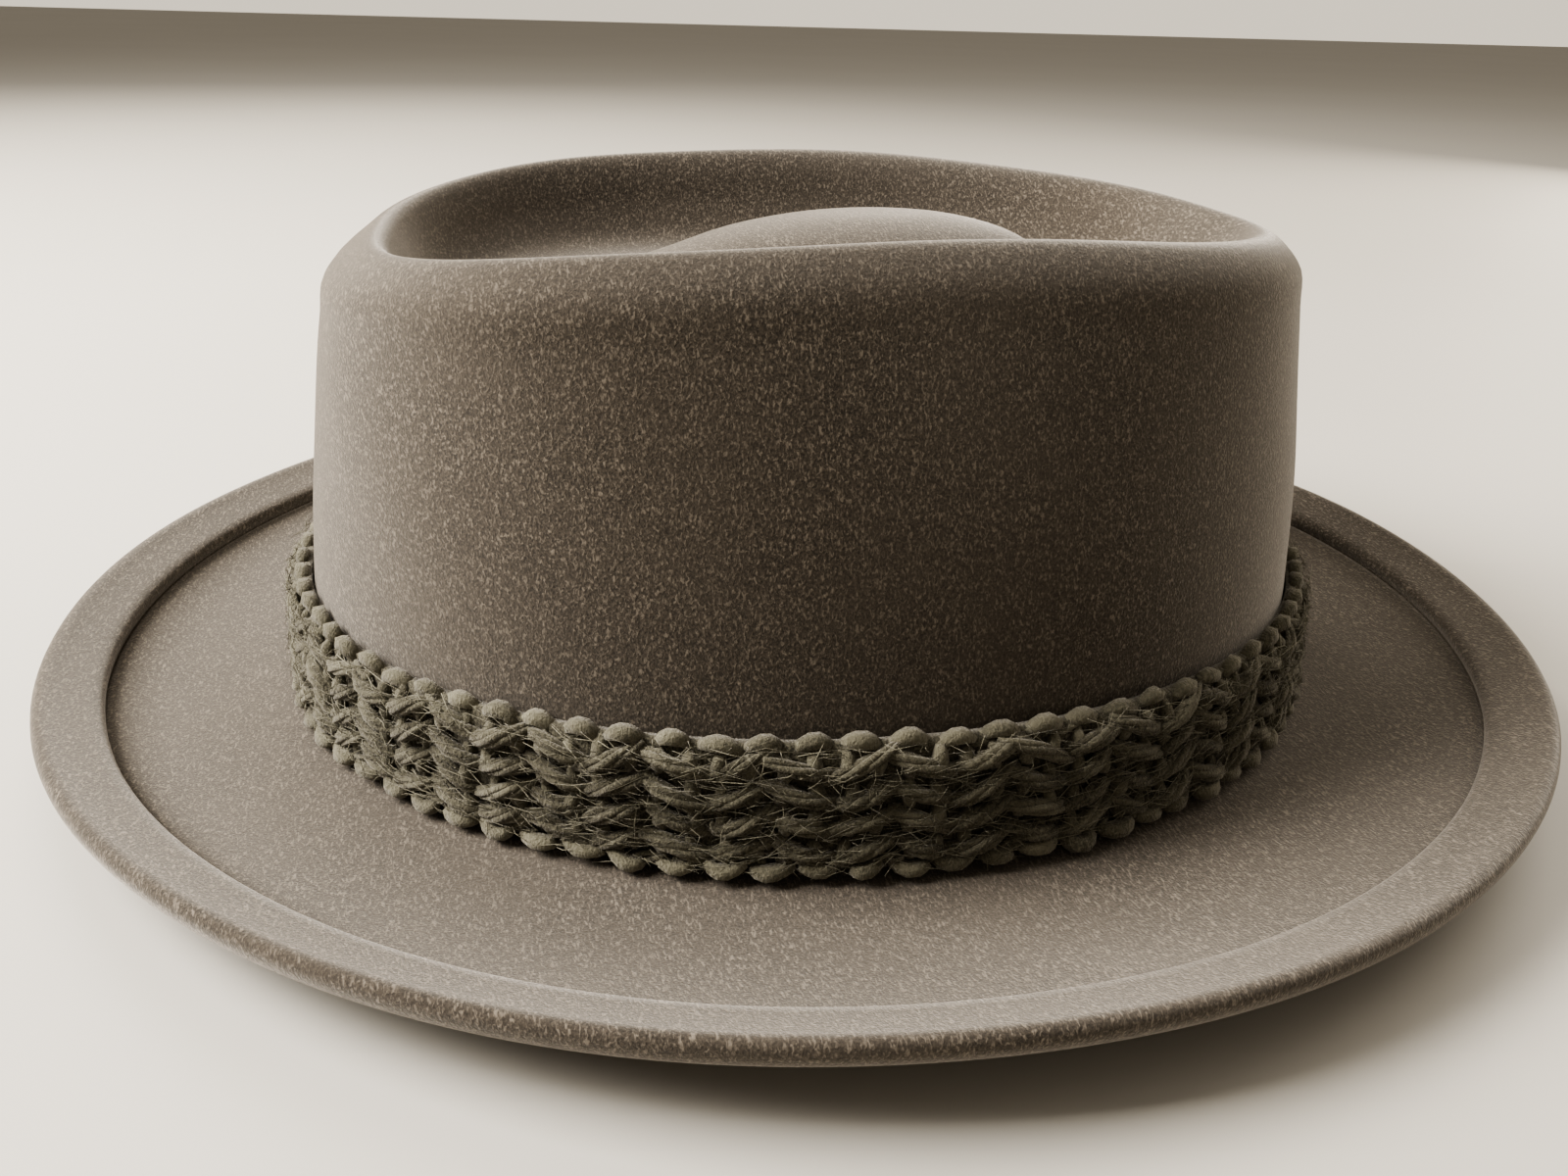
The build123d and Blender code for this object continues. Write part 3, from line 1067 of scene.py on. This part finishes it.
@dataclass
class Studio:
    """Pale floor, window light from the left and behind, and the camera."""

    place: tuple[float, float, float] = (-0.0575, -0.2560, 0.1300)
    turn: tuple[float, float, float] = (65.4, -1.6, -11.0)
    lens: float = 29.75

    def light(self, name: str, at: tuple, size: float, power: float, colour: tuple) -> None:
        """Hang a square soft light aimed at the crown.

        Args:
            name: Its name.
            at: Its place in metres.
            size: Its width in metres.
            power: Its power in watts.
            colour: Its colour.
        """
        data = bpy.data.lights.new(name, "AREA")
        data.size, data.energy, data.color = size, power, colour
        lamp = bpy.data.objects.new(name, data)
        lamp.location = at
        lamp.rotation_euler = (Vector((0, 0, 0.05)) - Vector(at)).to_track_quat("-Z", "Y").to_euler()
        bpy.context.scene.collection.objects.link(lamp)

    def floor(self) -> None:
        """Lay the pale surface that the hat stands on."""
        bpy.ops.object.select_all(action="DESELECT")
        bpy.ops.mesh.primitive_plane_add(size=12.0, location=(0, 0, -0.0002))
        floor = bpy.context.active_object
        floor.name = "floor"
        mat = bpy.data.materials.new("pale floor")
        mat.use_nodes = True
        kit = Sockets(mat.node_tree)
        noise = kit.node("ShaderNodeTexNoise", Scale=3.0)
        place = kit.node("ShaderNodeTexCoord")
        kit.link(place.outputs["Object"], noise.inputs["Vector"])
        colour = kit.mix(noise.outputs["Fac"], (0.46, 0.435, 0.39, 1), (0.50, 0.475, 0.43, 1))
        shader = mat.node_tree.nodes["Principled BSDF"]
        kit.link(colour, shader.inputs["Base Color"])
        shader.inputs["Roughness"].default_value = 0.55
        floor.data.materials.append(mat)

    def build(self) -> None:
        """Set the floor, the lights, the world and the camera."""
        self.floor()
        self.light("window", (-0.95, 0.15, 0.75), 0.7, 56.0, (1.0, 0.96, 0.90))
        self.light("window_behind", (-0.35, 1.1, 0.9), 0.8, 14.0, (1.0, 0.93, 0.82))
        self.light("room", (0.9, -0.9, 1.1), 1.6, 0.8, (1.0, 0.88, 0.74))
        self.light("door", (0.95, 0.45, 0.45), 0.8, 9.0, (1.0, 0.92, 0.80))
        self.light("ceiling", (0.1, 0.1, 1.6), 1.8, 4.0, (1.0, 0.96, 0.90))
        world = bpy.data.worlds.new("room")
        world.use_nodes = True
        world.node_tree.nodes["Background"].inputs[0].default_value = (0.80, 0.72, 0.60, 1)
        seen = Sockets(world.node_tree)
        ray = seen.node("ShaderNodeLightPath")
        strength = seen.node("ShaderNodeMapRange", To_Min=0.40, To_Max=1.1)
        seen.link(ray.outputs["Is Camera Ray"], strength.inputs["Value"])
        seen.link(strength.outputs[0], world.node_tree.nodes["Background"].inputs[1])
        bpy.context.scene.world = world
        data = bpy.data.cameras.new("camera")
        data.lens, data.sensor_width, data.clip_start = self.lens, 36.0, 0.005
        camera = bpy.data.objects.new("camera", data)
        camera.location = self.place
        camera.rotation_euler = Euler(tuple(math.radians(a) for a in self.turn), "XYZ")
        bpy.context.scene.collection.objects.link(camera)
        bpy.context.scene.camera = camera


def main() -> None:
    """Build the hat and its studio, in order."""
    logging.basicConfig(level=logging.INFO)
    bpy.context.scene.view_settings.view_transform = "AgX"
    bpy.context.scene.view_settings.look = "AgX - Medium High Contrast"
    Studio().build()
    FeltBody().build()
    CrochetBand().build()
    Inside().build()


if __name__ == "__main__":
    main()
